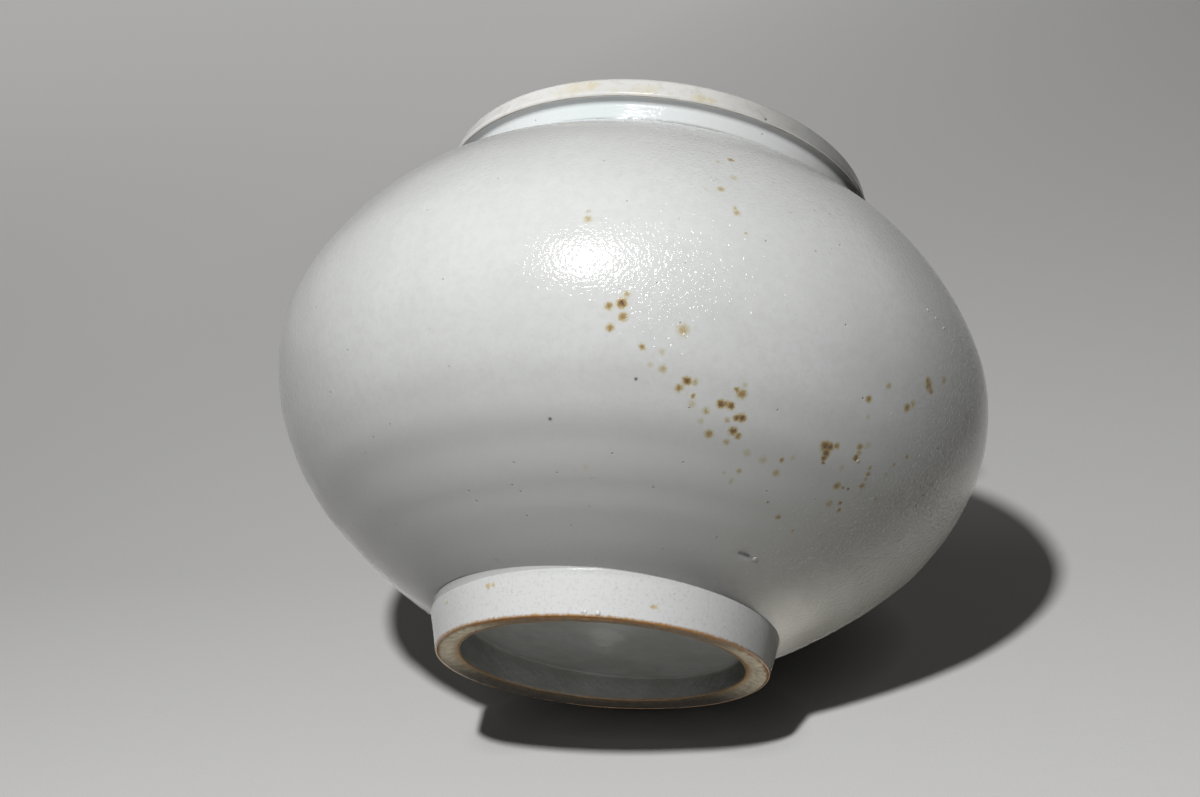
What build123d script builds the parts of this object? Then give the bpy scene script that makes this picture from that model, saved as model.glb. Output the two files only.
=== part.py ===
"""A squat white moon jar: two thrown bowls joined at the belly, a mouth rim, a foot ring and their glaze.

Millimetres, +Z up. The jar stands on its foot ring at z = 0, with the origin under the middle of the belly.
The foot is turned about an upright axis. The body leans on it, so its pieces are turned about a leaning axis.
"""
import os
from math import acos, cos, degrees, radians, sin, tan

from build123d import *

# Glaze, clay walls and the liquid clay of the joints
coat = 0.8
wall = 8.0
floor_wall = 10.5
slip = 1.2

# Body: the belly's radius over the glaze, its height, and how the body leans on its foot
belly_r = 180.0
belly_h = 139.5
lean_angle = 3.0
heading_angle = 21.0

# Upper half, from the belly up: radius of each bend and the angle that it turns through
crown_r = 73.6
crown_angle = 21.5
shoulder_r = 146.7
shoulder_angle = 40.0

# Lower half, from the belly down: bends that are shares of the belly height, so that it still ends at the foot
haunch_r = 0.5756 * belly_h
haunch_angle = 17.4
flank_r = 0.8638 * belly_h
flank_angle = 29.7
skirt_r = 2.0401 * belly_h
skirt_angle = 14.8

# Neck and lip
neck_joint = 1.0
cove_r = 5.5
lip_under_w = 1.3
lip_edge_r = 1.2
lip_angle = 17.0
lip_face_h = 9.3
lip_top_r = 4.5
throat_angle = 12.0
throat_corner_r = 4.0

# Foot ring: its axis, bare standing face, tapered wall and the groove that sets it off from the body
foot_x = -4.0
foot_y = -2.7
ledge_r = 85.0
ledge_h = 18.6
groove = 1.0
foot_taper = 4.2
foot_wall = 10.8
foot_bevel = 1.5
glaze_edge_h = 2.6
well_h = 9.0

lean_place = Location((0, 0, belly_h), (0, lean_angle, heading_angle), Extrinsic.XYZ)
body_plane = Plane(lean_place * Plane.XZ.location)
body_axis = Axis(body_plane.origin, body_plane.y_dir)
foot_plane = Plane((foot_x, foot_y, 0), x_dir=(1, 0, 0), z_dir=(0, -1, 0))
foot_axis = Axis(foot_plane.origin, (0, 0, 1))
quarter_turn = 90.0
foot_r = ledge_r - foot_taper
foot_bore_r = foot_r - foot_wall
base_z = well_h - belly_h
lining = coat + wall


# Outlines of the body, drawn in its own plane with the belly at height 0
def upper_outline(depth):
    """Draw the outside from the belly up to the lip's inner edge, a depth under the glaze's face."""
    crown = JernArc((belly_r - depth, slip / 2), (0, 1), crown_r - depth, crown_angle)
    shoulder = JernArc(crown @ 1, crown % 1, shoulder_r - depth, shoulder_angle)
    cove = JernArc(shoulder @ 1, shoulder % 1, cove_r + depth, -(crown_angle + shoulder_angle + quarter_turn))
    under = PolarLine(cove @ 1, lip_under_w, direction=cove % 1)
    edge = JernArc(under @ 1, under % 1, lip_edge_r - depth, quarter_turn + lip_angle)
    face = PolarLine(edge @ 1, lip_face_h, direction=edge % 1)
    top = JernArc(face @ 1, face % 1, lip_top_r - depth, 180 - lip_angle - throat_angle)
    return shoulder, top


def lower_outline(depth, middle_z):
    """Draw the lower half at a depth, and then its underside or floor to a height on the axis."""
    haunch = JernArc((belly_r - depth, -slip / 2), (0, -1), haunch_r - depth, -haunch_angle)
    flank = JernArc(haunch @ 1, haunch % 1, flank_r - depth, -flank_angle)
    skirt = JernArc(flank @ 1, flank % 1, skirt_r - depth, -skirt_angle)
    Bezier((0, middle_z), ((skirt @ 1).X / 2, middle_z), skirt @ 1)


def seam_line(depth):
    """Draw the short upright stretch that the joint makes at the belly."""
    Line((belly_r - depth, -slip / 2), (belly_r - depth, slip / 2))


def floor_z(skin):
    """Height of the inside's middle, with a skin on the clay."""
    return base_z + coat + floor_wall + skin


# The throat's rounded corner touches the inner shoulder and the straight throat, so it sets where both end
with BuildLine() as glaze_face:
    face_shoulder, face_top = upper_outline(0)
shoulder_middle = face_shoulder.arc_center
lip_middle = face_top.arc_center
throat_out = Vector(cos(radians(throat_angle)), -sin(radians(throat_angle)))
corner_reach = (lip_middle - shoulder_middle).dot(throat_out) - (lip_top_r - coat) + throat_corner_r
corner_span = shoulder_r - lining + throat_corner_r
corner_angle = degrees(acos(corner_reach / corner_span)) - throat_angle
neck_z = (face_shoulder @ 1).Y + neck_joint


def upper_lining(skin):
    """Draw the inside from the belly up to the lip's inner edge, with a skin on the clay."""
    depth = lining + skin
    crown = JernArc((belly_r - depth, slip / 2), (0, 1), crown_r - depth, crown_angle)
    shoulder = JernArc(crown @ 1, crown % 1, shoulder_r - depth, corner_angle - crown_angle)
    corner = JernArc(shoulder @ 1, shoulder % 1, throat_corner_r + skin, -(corner_angle + throat_angle))
    throat = Line(corner @ 1, lip_middle - (lip_top_r - coat + skin) * throat_out)
    return throat


# Helper solids: the body without its hollow, and the foot without its bore
def filled_body(depth, plug_rise):
    """Make the body solid at a depth under the glaze's face, with a plug that rises in the mouth."""
    with BuildPart() as body:
        with BuildSketch(body_plane):
            with BuildLine():
                top = upper_outline(depth)[1]
                seam_line(depth)
                lower_outline(depth, base_z + depth)
                mouth_edge = top @ 1
                Polyline(mouth_edge, (0, mouth_edge.Y + mouth_edge.X * plug_rise), (0, base_z + depth))
            make_face()
        revolve(axis=body_axis)
    return body.part


def filled_foot(depth, low):
    """Make the foot solid from a height up into the body, at a depth under the glaze's face."""
    groove_r = ledge_r - groove - depth
    with BuildPart() as foot:
        with BuildSketch(foot_plane):
            with BuildLine():
                Polyline(
                    (0, 0),
                    (foot_r - depth, 0),
                    (ledge_r - depth, ledge_h),
                    (groove_r, ledge_h + groove),
                    (groove_r, belly_h),
                    (0, belly_h),
                    close=True,
                )
            make_face()
            with Locations((0, low)):
                Rectangle(3 * ledge_r, belly_h, align=(Align.CENTER, Align.MIN), mode=Mode.INTERSECT)
        revolve(axis=foot_axis)
    return foot.part


# The clay's plug follows the cut end of the glaze at the lip, so the two coats meet there
clay_body = filled_body(coat, tan(radians(throat_angle)))
slipped_body = filled_body(coat - slip, 0)
glazed_body = filled_body(0, 0)

with BuildSketch() as upper_clay:
    with BuildLine():
        upper_outline(coat)
        upper_lining(0)
        Line((belly_r - coat, slip / 2), (belly_r - lining, slip / 2))
    make_face()

with BuildSketch() as foot_clay:
    with BuildLine():
        bare_r = foot_r - coat
        bevel_r = bare_r + foot_taper * foot_bevel / ledge_h
        groove_r = ledge_r - groove - coat
        Polyline(
            (foot_bore_r, foot_bevel),
            (foot_bore_r + foot_bevel, 0),
            (bare_r - foot_bevel, 0),
            (bevel_r, foot_bevel),
            (ledge_r - coat, ledge_h),
            (groove_r, ledge_h + groove),
            (groove_r, belly_h),
            (foot_bore_r, belly_h),
            close=True,
        )
    make_face()

# Body clay, from the floor up
with BuildPart() as lower_bowl:
    with BuildSketch(body_plane):
        with BuildLine():
            lower_outline(coat, base_z + coat)
            lower_outline(lining, floor_z(0))
            Line((belly_r - coat, -slip / 2), (belly_r - lining, -slip / 2))
            Line((0, base_z + coat), (0, floor_z(0)))
        make_face()
    revolve(axis=body_axis)

with BuildPart() as seam_slip:
    with BuildSketch(body_plane):
        with Locations((belly_r - lining, 0)):
            Rectangle(wall, slip, align=(Align.MIN, Align.CENTER))
    revolve(axis=body_axis)

with BuildPart() as upper_bowl:
    with BuildSketch(body_plane):
        add(upper_clay.sketch)
        with Locations((0, neck_z)):
            Rectangle(2 * belly_r, belly_h, align=(Align.CENTER, Align.MIN), mode=Mode.SUBTRACT)
    revolve(axis=body_axis)

with BuildPart() as neck_slip:
    with BuildSketch(body_plane):
        add(upper_clay.sketch)
        with Locations((0, neck_z)):
            Rectangle(2 * belly_r, slip, align=(Align.CENTER, Align.MIN), mode=Mode.INTERSECT)
    revolve(axis=body_axis)

with BuildPart() as mouth_rim:
    with BuildSketch(body_plane):
        add(upper_clay.sketch)
        with Locations((0, neck_z + slip)):
            Rectangle(2 * belly_r, belly_h, align=(Align.CENTER, Align.MAX), mode=Mode.SUBTRACT)
    revolve(axis=body_axis)

# Foot clay, cut to the leaning bowl
with BuildPart() as foot_ring:
    with BuildSketch(foot_plane):
        add(foot_clay.sketch)
    revolve(axis=foot_axis)
    add(slipped_body, mode=Mode.SUBTRACT)

with BuildPart() as foot_slip:
    with BuildSketch(foot_plane):
        add(foot_clay.sketch)
    revolve(axis=foot_axis)
    add(clay_body, mode=Mode.SUBTRACT)
    add(foot_ring.part, mode=Mode.SUBTRACT)

# Glaze
with BuildPart() as outer_glaze:
    add(glazed_body)
    add(filled_foot(0, glaze_edge_h))
    add(clay_body, mode=Mode.SUBTRACT)
    add(filled_foot(coat, 0), mode=Mode.SUBTRACT)

with BuildPart() as inner_glaze:
    with BuildSketch(body_plane):
        with BuildLine():
            throat = upper_lining(0)
            seam_line(lining)
            lower_outline(lining, floor_z(0))
            face_throat = upper_lining(coat)
            seam_line(lining + coat)
            lower_outline(lining + coat, floor_z(coat))
            Line(throat @ 1, face_throat @ 1)
            Line((0, floor_z(0)), (0, floor_z(coat)))
        make_face()
    revolve(axis=body_axis)

with BuildPart() as well_air:
    with BuildSketch(Plane.XY):
        with Locations((foot_x, foot_y)):
            Circle(foot_bore_r - coat)
    extrude(amount=belly_h)
    add(glazed_body, mode=Mode.SUBTRACT)

with BuildPart() as well_glaze:
    with BuildSketch(Plane.XY.offset(glaze_edge_h)):
        with Locations((foot_x, foot_y)):
            Circle(foot_bore_r)
    extrude(amount=belly_h - glaze_edge_h)
    add(clay_body, mode=Mode.SUBTRACT)
    add(well_air.part, mode=Mode.SUBTRACT)

pieces = {
    "lower_bowl": lower_bowl,
    "seam_slip": seam_slip,
    "upper_bowl": upper_bowl,
    "neck_slip": neck_slip,
    "mouth_rim": mouth_rim,
    "foot_ring": foot_ring,
    "foot_slip": foot_slip,
    "outer_glaze": outer_glaze,
    "inner_glaze": inner_glaze,
    "well_glaze": well_glaze,
}
os.makedirs("parts", exist_ok=True)
for name, piece in pieces.items():
    piece.part.label = name
    export_step(piece.part, f"parts/{name}.step")
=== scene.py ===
# %% [markdown]
# # A white moon jar
# The jar is two thrown bowls joined at the belly, with a low mouth, a turned foot and a thick grey-white
# glaze. The CAD model gives its solids. This lesson dresses them: it builds the skins that the eye sees
# as fine rings of points, so that finger marks, dents and a wavy glaze edge are real shape, and it paints
# the glaze with nodes. First the frame is loaded.

# %% Load the frame
from math import acos, ceil, cos, degrees, pi, radians, sin

import bpy
import numpy as np
from mathutils import Matrix, Vector
from mathutils.bvhtree import BVHTree


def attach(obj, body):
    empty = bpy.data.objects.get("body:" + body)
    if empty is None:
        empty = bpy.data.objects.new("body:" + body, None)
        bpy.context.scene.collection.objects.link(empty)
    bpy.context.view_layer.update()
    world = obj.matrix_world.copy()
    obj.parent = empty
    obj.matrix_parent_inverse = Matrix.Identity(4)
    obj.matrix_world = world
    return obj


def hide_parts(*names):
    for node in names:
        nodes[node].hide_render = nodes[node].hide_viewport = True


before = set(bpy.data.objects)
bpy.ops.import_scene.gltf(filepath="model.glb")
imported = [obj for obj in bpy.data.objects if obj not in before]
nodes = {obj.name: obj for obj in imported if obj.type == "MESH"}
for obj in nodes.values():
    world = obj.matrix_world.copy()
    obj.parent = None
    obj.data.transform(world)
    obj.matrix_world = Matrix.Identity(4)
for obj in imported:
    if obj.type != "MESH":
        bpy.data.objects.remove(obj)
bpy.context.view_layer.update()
scene = bpy.context.scene
MM = 0.001


def put(name, data):
    """Put a new object with this mesh, lamp or camera into the scene."""
    made = bpy.data.objects.new(name, data)
    scene.collection.objects.link(made)
    return made


# %% [markdown]
# ## The camera
# The photograph shows the jar tipped back on the rim of its foot, so a jar that stands upright is seen
# from below. The camera was worked out from the outline of the belly, the mouth and the foot. Its lens is
# given for a sensor 36 mm wide, and no shift is needed. A pixel of the photograph gives a ray, which
# later places the spots.

# %% Camera
PHOTO_W, PHOTO_H = 1200, 797
eye = Vector((-35.45, -922.97, -246.89)) * MM
look = Vector((0.01941, 0.92142, 0.38809)).normalized()
sky = Vector((-0.09384, -0.38477, 0.91823)).normalized()
right = look.cross(sky).normalized()
sky = right.cross(look)
lens_mm, sensor_mm = 58.57, 36.0
focal_px = lens_mm / sensor_mm * PHOTO_W

camera_data = bpy.data.cameras.new("photo_camera")
camera_data.lens = lens_mm
camera_data.sensor_width = sensor_mm
camera_data.clip_start = 0.01
camera_data.clip_end = 100.0
camera = put("photo_camera", camera_data)
turn = Matrix((right, sky, -look)).transposed()
camera.matrix_world = Matrix.Translation(eye) @ turn.to_4x4()
scene.camera = camera
scene.view_settings.view_transform = "Standard"


def pixel_ray(x, y):
    """Direction in which the camera sees a pixel of the photograph."""
    sideways = (x - PHOTO_W / 2) / focal_px
    upwards = (PHOTO_H / 2 - y) / focal_px
    return (look + right * sideways + sky * upwards).normalized()


print("camera", [round(v, 3) for v in eye], "lens", lens_mm)

# %% [markdown]
# ## Sizes
# These are the CAD source's own sizes in millimetres, repeated here because the script can't read that
# file. The body leans three degrees on its foot, so it has a frame of its own: its origin is the middle
# of the belly.

# %% Sizes from the CAD source
coat, wall, floor_wall, slip = 0.8, 8.0, 10.5, 1.2
belly_r, belly_h = 180.0, 139.5
lean_angle, heading_angle = 3.0, 21.0
crown_r, crown_angle = 73.6, 21.5
shoulder_r, shoulder_angle = 146.7, 40.0
haunch_r, haunch_angle = 0.5756 * belly_h, 17.4
flank_r, flank_angle = 0.8638 * belly_h, 29.7
skirt_r, skirt_angle = 2.0401 * belly_h, 14.8
cove_r, lip_under_w = 5.5, 1.3
lip_edge_r, lip_angle = 1.2, 17.0
lip_face_h, lip_top_r = 9.3, 4.5
throat_angle, throat_corner_r = 12.0, 4.0
foot_x, foot_y = -4.0, -2.7
ledge_r, ledge_h, groove = 85.0, 18.6, 1.0
foot_taper, foot_wall, well_h = 4.2, 10.8, 9.0
foot_r = ledge_r - foot_taper
bore_r = foot_r - foot_wall
lining = coat + wall
inner_depth = lining + coat
base_z = well_h - belly_h
floor_z = base_z + coat + floor_wall + coat

lean = Matrix.Rotation(radians(heading_angle), 3, "Z")
lean = np.array(lean @ Matrix.Rotation(radians(lean_angle), 3, "Y") @ lean.transposed())
belly = np.array((0.0, 0.0, belly_h))
foot_place = np.array((foot_x, foot_y, 0.0))


def stand(rings):
    """Move points from the leaning body's frame to the jar's frame, in millimetres."""
    return belly + rings @ lean.T


print("belly", 2 * belly_r, "mm across, foot", 2 * foot_r, "mm, lean", lean_angle, "degrees")

# %% [markdown]
# ## Outlines
# A potter's profile is a chain of bends and short straights. A list of points grows bend by bend, so that
# each stretch of the jar gets its own fineness: wide steps on the belly, fine ones at the lip and the
# foot.

# %% Outline helpers
body_step, fine_step = 1.9, 0.75


def towards(angle):
    """The direction at an angle in degrees."""
    return np.array((cos(radians(angle)), sin(radians(angle))))


def bend(points, heading, radius, turn_angle, step):
    """Extend an outline by a bend, left if the angle is positive, and return the new heading in degrees."""
    side = 1 if turn_angle > 0 else -1
    way = radians(heading)
    middle = points[-1] + side * radius * np.array((-sin(way), cos(way)))
    steps = max(2, ceil(radius * radians(abs(turn_angle)) / step))
    for k in range(1, steps + 1):
        way = radians(heading + turn_angle * k / steps)
        points.append(middle + side * radius * np.array((sin(way), -cos(way))))
    return heading + turn_angle


def straight(points, end, step):
    """Extend an outline by a straight run to a point."""
    start = points[-1]
    steps = max(1, ceil(np.linalg.norm(end - start) / step))
    for k in range(1, steps + 1):
        points.append(start + (end - start) * k / steps)


def ahead(points, heading, length):
    """The point that lies a length ahead of an outline's end."""
    return points[-1] + length * towards(heading)


def lengths_along(points):
    """How far along an outline each of its points lies."""
    return np.concatenate(([0], np.cumsum(np.linalg.norm(np.diff(points, axis=0), axis=1))))


def lower_outline(depth, middle_z, step):
    """Outline from the belly down and then along the underside or floor to the axis."""
    points = [np.array((belly_r - depth, -slip / 2))]
    way = bend(points, -90, haunch_r - depth, -haunch_angle, step)
    way = bend(points, way, flank_r - depth, -flank_angle, step)
    bend(points, way, skirt_r - depth, -skirt_angle, step)
    end = points[-1]
    steps = ceil(end[0] / step)
    for k in range(1, steps + 1):
        r = end[0] * (1 - k / steps)
        points.append(np.array((r, middle_z + (end[1] - middle_z) * (r / end[0]) ** 2)))
    return points


lower = np.array(lower_outline(0, base_z, body_step))
print("lower outline:", len(lower), "points")

# %% [markdown]
# ## From the belly to the lip
# The solid has a tight cove under its lip. On the jar, glaze has pooled there, so the skin climbs a short
# steep neck and turns out under a lip with a soft edge. The lip's face stays where the solid has it: the
# solid's own cove is followed first to find that face, and a trial bend then says how far the underside
# has to run.

# %% Outline of the upper half
edge_angle = 2.5
neck_way, neck_wall_h, neck_low_r, neck_high_r = 84.0, 6.7, 1.6, 2.2
under_slope, soft_lip_r = 23.0, 2.3
lip_way = 90 + lip_angle

outside = [np.array((belly_r, slip / 2))]
way = bend(outside, 90, crown_r, crown_angle, body_step)
way = bend(outside, way, shoulder_r, shoulder_angle - edge_angle, body_step)
way = bend(outside, way, shoulder_r, edge_angle, fine_step)
shoulder_end = len(outside) - 1

cad_lip = [outside[-1]]
bend(cad_lip, way, cove_r, -way, fine_step)
cad_lip.append(ahead(cad_lip, 0, lip_under_w))
bend(cad_lip, 0, lip_edge_r, lip_way, fine_step)
face_end = ahead(cad_lip, lip_way, lip_face_h)
face_out = np.array((sin(radians(lip_way)), -cos(radians(lip_way))))

way = bend(outside, way, neck_low_r, neck_way - way, fine_step / 2)
straight(outside, ahead(outside, way, neck_wall_h), fine_step)
way = bend(outside, way, neck_high_r, under_slope - way, fine_step / 2)
trial = [outside[-1]]
bend(trial, way, soft_lip_r, lip_way - way, fine_step)
under_w = (face_end - trial[-1]) @ face_out / (towards(way) @ face_out)
straight(outside, ahead(outside, way, under_w), fine_step)
cove_end = len(outside) - 1
way = bend(outside, way, soft_lip_r, lip_way - way, fine_step / 2)
straight(outside, face_end, fine_step)
bend(outside, way, lip_top_r, 180 - lip_angle - throat_angle, fine_step)
outside = np.array(outside)
print("upper outline:", len(outside), "points, crest", round(outside[:, 1].max(), 2), "mm over the belly")

# %% [markdown]
# ## Rings
# Each skin is a stack of rings. The same number of points goes round every ring, so faces are plain
# quads, and a map for textures falls out of the ring and column numbers. Where a skin ends on the axis,
# its last ring closes in a fan of triangles.

# %% Rings of points
COLUMNS = 424
columns = np.linspace(0, 2 * pi, COLUMNS, endpoint=False)
every = np.arange(COLUMNS)
seeded = np.random.default_rng(7)


def rough_line(rounds):
    """A ragged line round the jar between -1 and 1, smoother with more rounds."""
    values = seeded.random(COLUMNS)
    for _ in range(rounds):
        values = (np.roll(values, 1) + values + np.roll(values, -1)) / 3
    values -= values.mean()
    return values / np.abs(values).max()


def hump(values, middle, width):
    """A smooth hump that is 1 at a middle value."""
    return np.exp(-((values - middle) / width) ** 2)


def spin(r, z, ways=columns):
    """Rings of points from radii and heights, at bearings that may differ by column."""
    return np.stack((r * np.cos(ways), r * np.sin(ways), z), -1)


def revolve(points, raised=0.0):
    """Turn an outline about the body's axis, with each point raised from it along its normal."""
    points = np.asarray(points, float)
    along = np.gradient(points, axis=0)
    normal = np.stack((along[:, 1], -along[:, 0]), -1)
    normal /= np.maximum(np.linalg.norm(normal, axis=1, keepdims=True), 1e-9)
    raised = np.broadcast_to(raised, (len(points), COLUMNS))
    return spin(points[:, :1] + normal[:, :1] * raised, points[:, 1:] + normal[:, 1:] * raised)


def soften(rings, first, last, rounds):
    """Round a crease between two rings by averaging each ring with its neighbours."""
    for _ in range(rounds):
        middle = rings[first:last + 1]
        rings[first:last + 1] = (rings[first - 1:last] + 2 * middle + rings[first + 1:last + 2]) / 4


print(COLUMNS, "points in a ring,", round(2 * pi * belly_r / COLUMNS, 2), "mm apart at the belly")

# %% [markdown]
# ## Meshes
# A skin could be a curve with a Screw modifier. It is built face by face instead, because finger marks
# and a ragged edge differ from column to column. Each mesh also gets a flat map, named OFBake.

# %% Mesh from rings
def unroll(mesh, faces, count):
    """Give a mesh of rings a flat map, with columns across it and rings up it."""
    corner = np.empty(len(mesh.loops), np.int32)
    mesh.loops.foreach_get("vertex_index", corner)
    ring, column = np.divmod(corner, COLUMNS)
    first = np.repeat([face[0] for face in faces], [len(face) for face in faces]) % COLUMNS
    column = np.where((column == 0) & (first == COLUMNS - 1), COLUMNS, column)
    column = np.where(ring == count, first + 0.5, column)
    place = np.stack((column / COLUMNS, ring / count), -1)
    mesh.uv_layers.new(name="OFBake").uv.foreach_set("vector", place.astype(np.float32).ravel())


def skin(name, rings, closes=False, loops=False):
    """A smooth mesh of rings in millimetres, which may close on the axis or loop back to its first ring."""
    count = len(rings)
    verts = rings.reshape(-1, 3) * MM
    faces = []
    for k in range(count if loops else count - 1):
        a, b = k * COLUMNS, (k + 1) % count * COLUMNS
        for j in range(COLUMNS):
            n = (j + 1) % COLUMNS
            faces.append((a + j, a + n, b + n, b + j))
    if closes:
        verts = np.vstack((verts, rings[-1].mean(0) * MM))
        last = (count - 1) * COLUMNS
        faces += [(last + j, last + (j + 1) % COLUMNS, count * COLUMNS) for j in range(COLUMNS)]
    mesh = bpy.data.meshes.new(name)
    mesh.from_pydata(verts.tolist(), [], faces)
    mesh.shade_smooth()
    unroll(mesh, faces, count)
    print(name, len(mesh.vertices), "points,", len(mesh.polygons), "faces")
    return put(name, mesh)


# %% [markdown]
# ## Finger marks
# Fingers leave shallow troughs between soft ridges, most of all on the lower bowl. No trough is half a
# millimetre deep, but that is enough to catch the light in bands. A ridge has a height over the belly,
# and the trough between two ridges has a flatness: 1 would cancel the flank's own bend. The ridges wander
# and fade round the jar.

# %% Finger marks
ridge_z = (113.0, 88.0, 60.0, 30.0, 5.0, -26.0, -52.0, -69.0, -91.0, -101.0, -112.0, -127.0)
ridge_flatness = (0.15, 0.15, 0.25, 0.2, 0.1, 0.25, 1.4, 2.2, 2.5, 2.5, 3.0)
ridges = np.array(ridge_z[::-1])
spans = np.diff(ridges)
trough_depths = np.array(ridge_flatness[::-1]) * spans ** 2 / (2 * pi ** 2 * flank_r)
wander = -5.5 * np.sin(columns + 1.8) + 0.7 * np.sin(2 * columns - 1.1) + 0.4 * np.sin(5 * columns)
fading = 0.85 + 0.3 * np.sin(columns + 3.7) + 0.12 * np.sin(3 * columns + 0.4)


def finger_waves(z):
    """Rise and fall of the finger marks at heights over the belly, for every column."""
    height = z + wander
    depth = np.interp(height, ridges[:-1] + spans / 2, trough_depths)
    turn_count = np.interp(height, ridges, np.arange(len(ridges)))
    return depth / 2 * np.cos(2 * pi * turn_count) * fading


print("deepest finger mark:", round(trough_depths.max(), 2), "mm")

# %% [markdown]
# ## Where the body meets the foot
# The leaning body meets an upright foot, so the meeting height differs from column to column. On the left
# the foot's ledge stands clear. Towards the front and right the body swallows it. A finely stepped
# outline is swept round, and in each column the first point inside the foot is where the two meet.

# %% Body and foot
meeting_in, meeting_out, dense_step = 60.0, 112.0, 0.1
ledge_rise, ledge_most = 4.4, 4.6
ledge_gone_at, ledge_fades_over = 1.5, 0.85

dense = np.array(lower_outline(0, base_z, dense_step))
dense = dense[(dense[:, 0] < meeting_out) & (dense[:, 0] > meeting_in)]
dense_s = lengths_along(dense)
swept = stand(revolve(dense))
from_foot = np.linalg.norm(swept[..., :2] - foot_place[:2], axis=-1)


def foot_radius(z, ledge_z):
    """Radius of the glazed foot at a height: tapered wall, ledge and groove."""
    taper = foot_r + foot_taper * z / ledge_h
    top = foot_r + foot_taper * ledge_z / ledge_h
    return np.where(z < ledge_z, taper, np.maximum(top - (z - ledge_z), top - groove))


def meet_foot(ledge_z):
    """For each column, the sample of the swept outline that meets a foot with this ledge height."""
    return np.argmax(from_foot < foot_radius(swept[..., 2], ledge_z), axis=0)


from_left = np.abs(columns - pi)
ledge_shown = np.clip(ledge_rise * (ledge_gone_at - from_left) / ledge_fades_over, 0, ledge_most)
ledge = np.maximum(ledge_h, swept[meet_foot(ledge_h), every, 2] - ledge_shown)
hit = meet_foot(ledge)
join_s = dense_s[hit]
join_z = swept[hit, every, 2]
foot_way = np.arctan2(*(swept[hit, every, :2] - foot_place[:2]).T[::-1])
print("body meets the foot between", round(join_z.min(), 2), "and", round(join_z.max(), 2), "mm up")

# %% [markdown]
# ## The outer skin
# One skin runs from the glaze's ragged hem on the foot up to the inner edge of the lip, so no seam shows
# at the belly. A fine line stands where the shoulder meets the neck, and the lip's edge wobbles a little.
# At the hem the last rings tuck in under the glaze, which gives the coat its thickness.

# %% Neck line and lip edge
neck_line_h, neck_ridge_at, neck_ridge_w, neck_trench_at, neck_trench_w = 0.35, -1.1, 0.8, 0.7, 0.7
lip_wobble_h, wobble_row, wobble_rows = 0.14, cove_end + 5, 5.0
edge_s = lengths_along(outside)
edge_s = edge_s - edge_s[shoulder_end]
neck_ridge = neck_line_h * hump(edge_s, neck_ridge_at, neck_ridge_w)
neck_line = neck_ridge - neck_line_h * hump(edge_s, neck_trench_at, neck_trench_w)
lip_edge = hump(np.arange(len(outside)), wobble_row, wobble_rows)
lip_wobble = lip_edge[:, None] * lip_wobble_h * (1 + rough_line(4))
print("lip edge wobbles by up to", round(lip_wobble.max(), 2), "mm")

# %% Foot wall and hem
hem_h, hem_ragged = 1.35, 0.12
over_ledge = (5.4, 4.6, 3.8, 3.0, 2.2, 1.6, 1.2, 1.0, 0.7, 0.35, 0.0, -0.4, -0.9)
under_ledge, wall_low, wall_rows, least_step = 1.6, 3.6, 14, 0.05
hem_shares = (0.6, 0.25, 0.0)
tuck = ((0.3, 0.42), (0.8, 0.2), (1.1, -0.4))
glaze_hem = hem_h + 0.2 * np.sin(3 * foot_way + 1) + 0.1 * np.sin(7 * foot_way)
glaze_hem += hem_ragged * rough_line(20)
wall_share = np.linspace(0, 1, wall_rows)
wall_z = [ledge + rise for rise in over_ledge]
wall_z += [ledge - under_ledge + s * (wall_low - ledge + under_ledge) for s in wall_share]
foot_z = np.stack([np.minimum(z, join_z - least_step * (k + 1)) for k, z in enumerate(wall_z)])
foot_z = np.vstack((foot_z, [glaze_hem + s * (foot_z[-1] - glaze_hem) for s in hem_shares]))
foot_out = foot_radius(foot_z, ledge)
foot_z = np.vstack((foot_z, [glaze_hem - drop for inset, drop in tuck]))
foot_out = np.vstack((foot_out, [foot_out[-1] - inset for inset, drop in tuck]))
foot_rings = foot_place + spin(foot_out, foot_z, foot_way)
print("glaze hem between", round(glaze_hem.min(), 2), "and", round(glaze_hem.max(), 2), "mm up")

# %% Outer skin
skirt_rows, skirt_crowding, skirt_slant = 34, 1.5, 0.6
share = 1 - (1 - np.linspace(0, 1, skirt_rows + 1)[1:]) ** skirt_crowding
skirt_s = share[:, None] * join_s
skirt_z = np.interp(skirt_s, dense_s, dense[:, 1])
skirt_out = np.interp(skirt_s, dense_s, dense[:, 0]) + skirt_slant * finger_waves(skirt_z)
skirt_rings = spin(skirt_out, skirt_z)

body_low = lower[lower[:, 0] > meeting_out - dense_step][::-1]
lower_rings = revolve(body_low, finger_waves(body_low[:, 1:]))
upper_rings = revolve(outside, neck_line[:, None] + lip_wobble + finger_waves(outside[:, 1:]))
outer_rings = np.concatenate(
    (foot_rings[::-1], stand(skirt_rings)[::-1], stand(lower_rings), stand(upper_rings))
)
crease = len(foot_rings)
crease_first, crease_last, hem_first, hem_last = crease - 16, crease + 5, 3, 6
soften(outer_rings, crease_first, crease_last, 1)
soften(outer_rings, hem_first, hem_last, 1)
glaze_outside = skin("glaze_outside", outer_rings)

# %% [markdown]
# ## The inside
# The inner skin starts where the outer one ends, at the inner edge of the lip, and runs down the throat,
# under the shoulder and down to the floor. Nobody smoothed it, so throwing rings show all the way down:
# they run round as one spiral, which starts below the throat.

# %% Inner skin
lip_end = outside[-1]
shoulder_middle = np.array((belly_r - crown_r, slip / 2)) + (crown_r - shoulder_r) * towards(crown_angle)
throat_out = towards(-throat_angle)
lip_middle = lip_end + lip_top_r * throat_out
corner_reach = (lip_middle - shoulder_middle) @ throat_out - (lip_top_r - coat) + throat_corner_r
corner_span = shoulder_r - lining + throat_corner_r
corner_angle = degrees(acos(corner_reach / corner_span)) - throat_angle

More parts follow.
